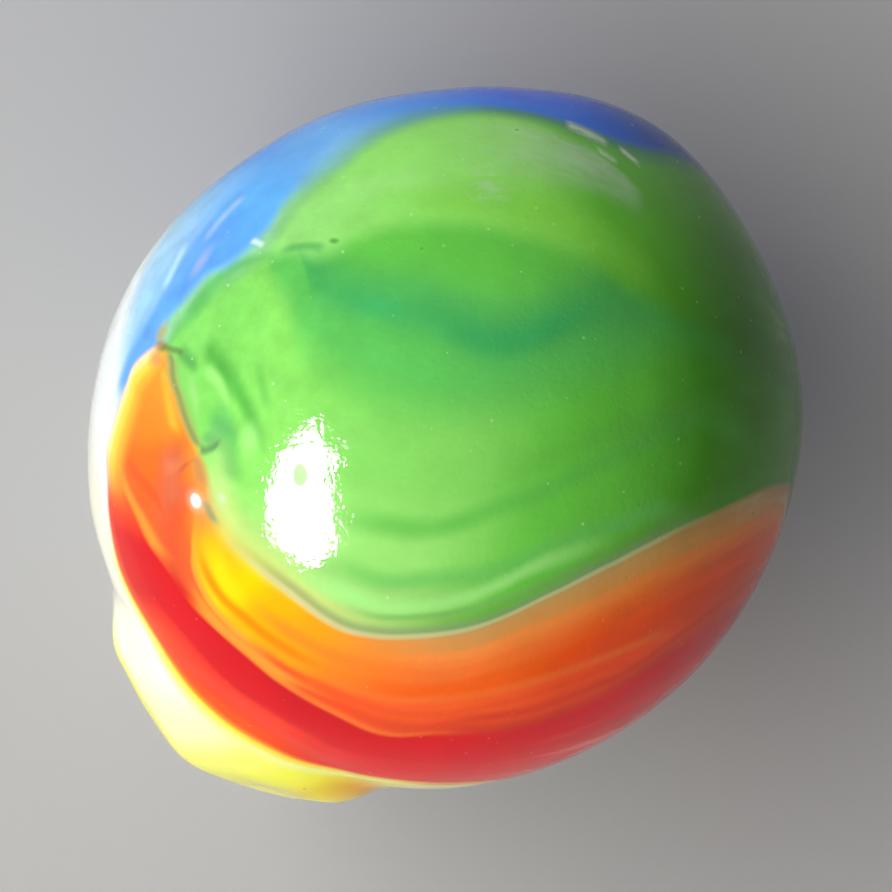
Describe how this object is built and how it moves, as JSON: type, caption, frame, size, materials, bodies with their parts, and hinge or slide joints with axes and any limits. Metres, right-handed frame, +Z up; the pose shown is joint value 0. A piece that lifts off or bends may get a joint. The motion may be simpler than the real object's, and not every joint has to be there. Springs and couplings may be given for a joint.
{
  "type": "glass marble",
  "caption": "Opaque swirl glass marble, slightly out of round, with one fold of glass standing proud of the ball.",
  "frame": {"origin": "centre of the ball, which is within a fifth of a millimetre of the solid's centroid", "axes": "+Z up, out of the side that shows the green ribbons; +X and +Y lie in the plane of the long axis, which is turned 39 degrees from +X towards +Y; the fold stands out at 231 degrees"},
  "size_m": [0.0162, 0.0161, 0.0154],
  "materials": {
    "swirl_glass": "fire-polished gloss"
  },
  "bodies": {
    "root": {"marble": "swirl_glass"}
  },
  "joints": []
}
